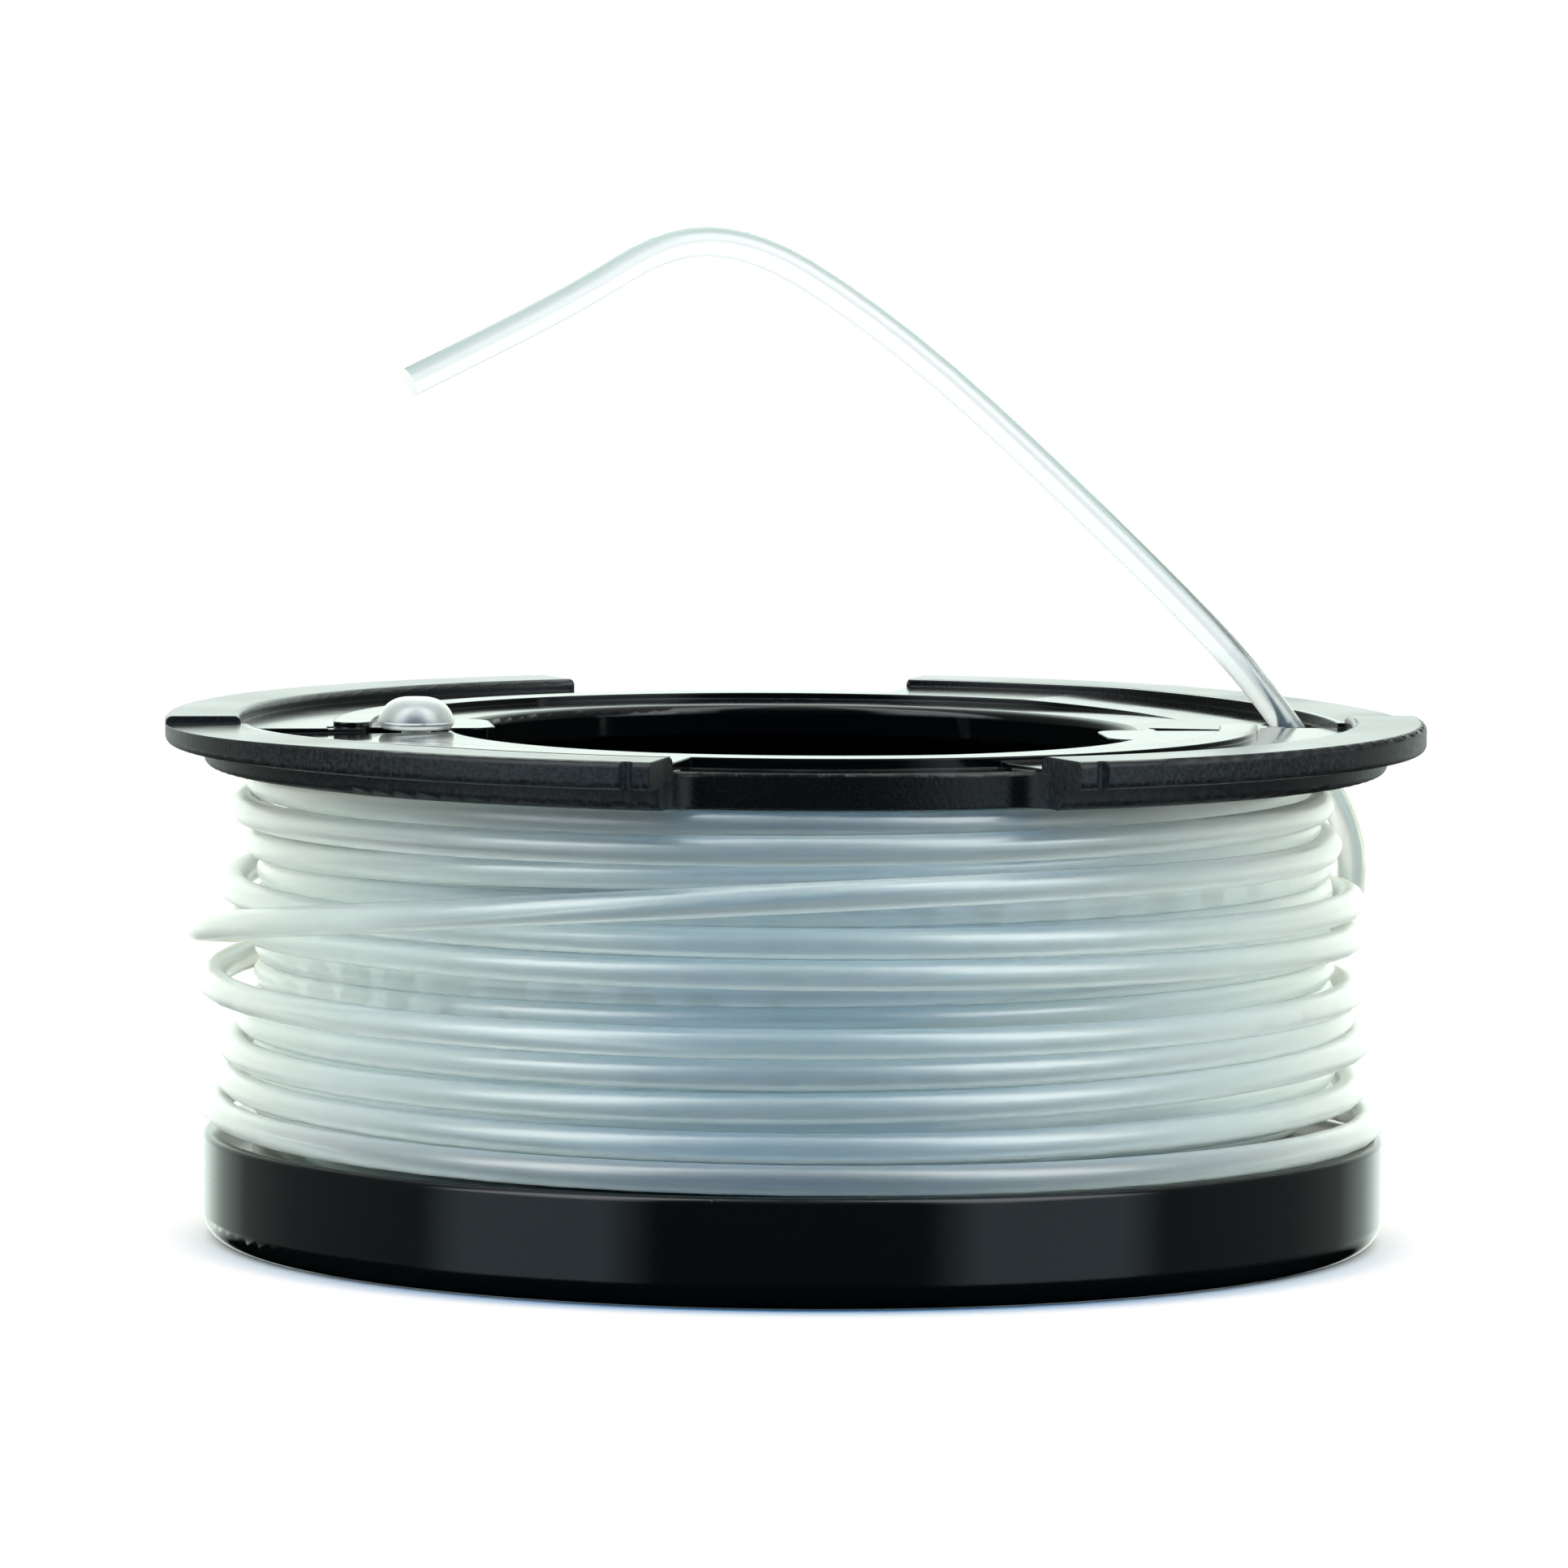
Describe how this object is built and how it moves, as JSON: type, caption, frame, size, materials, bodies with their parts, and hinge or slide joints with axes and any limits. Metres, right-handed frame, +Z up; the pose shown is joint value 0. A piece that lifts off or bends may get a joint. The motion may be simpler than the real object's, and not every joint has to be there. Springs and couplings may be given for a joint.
{
  "type": "trimmer line spool",
  "caption": "Spool for a string trimmer head: a moulded drum with a notched rim, wound with clear cutting line whose free end stands out through the flange.",
  "frame": {"origin": "centre of the spool's base, on its axis at the underside", "axes": "+Z up along the spool's axis towards the notched rim, +Y towards one rim notch, +X towards the line hole the tail comes out of"},
  "size_m": [0.0712, 0.0674, 0.057],
  "materials": {
    "spool_plastic": "gloss black, satin on the rim's outside",
    "cutting_line": "clear, slightly milky"
  },
  "bodies": {
    "root": {"spool_body": "spool_plastic", "line_winding": "cutting_line", "line_tail": "cutting_line", "line_anchor": "cutting_line"}
  },
  "joints": []
}
